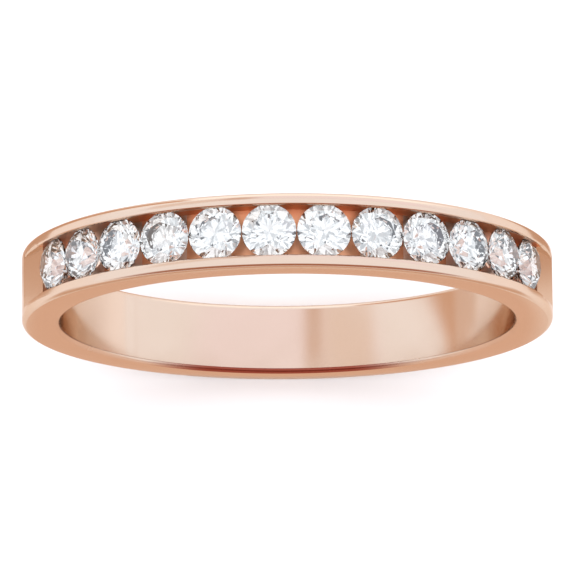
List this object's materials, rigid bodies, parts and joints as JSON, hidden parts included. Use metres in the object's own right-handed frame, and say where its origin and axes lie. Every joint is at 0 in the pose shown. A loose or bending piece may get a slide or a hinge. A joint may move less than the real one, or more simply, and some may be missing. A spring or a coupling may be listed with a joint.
{
  "type": "wedding band",
  "caption": "Slim straight-sided wedding band with a row of round brilliant stones set edge to edge in a channel along its top.",
  "frame": {"origin": "centre of the finger hole, half way along it", "axes": "+Y along the finger hole, +Z from its centre out through the middle of the row of stones, +X along the row"},
  "size_m": [0.0202, 0.0028, 0.0202],
  "materials": {
    "rose_gold": "polished 14 ct rose gold",
    "diamond": "faceted and polished"
  },
  "bodies": {
    "root": {"band": "rose_gold", "stone_01": "diamond", "stone_02": "diamond", "stone_03": "diamond", "stone_04": "diamond", "stone_05": "diamond", "stone_06": "diamond", "stone_07": "diamond", "stone_08": "diamond", "stone_09": "diamond", "stone_10": "diamond", "stone_11": "diamond", "stone_12": "diamond"}
  },
  "joints": []
}
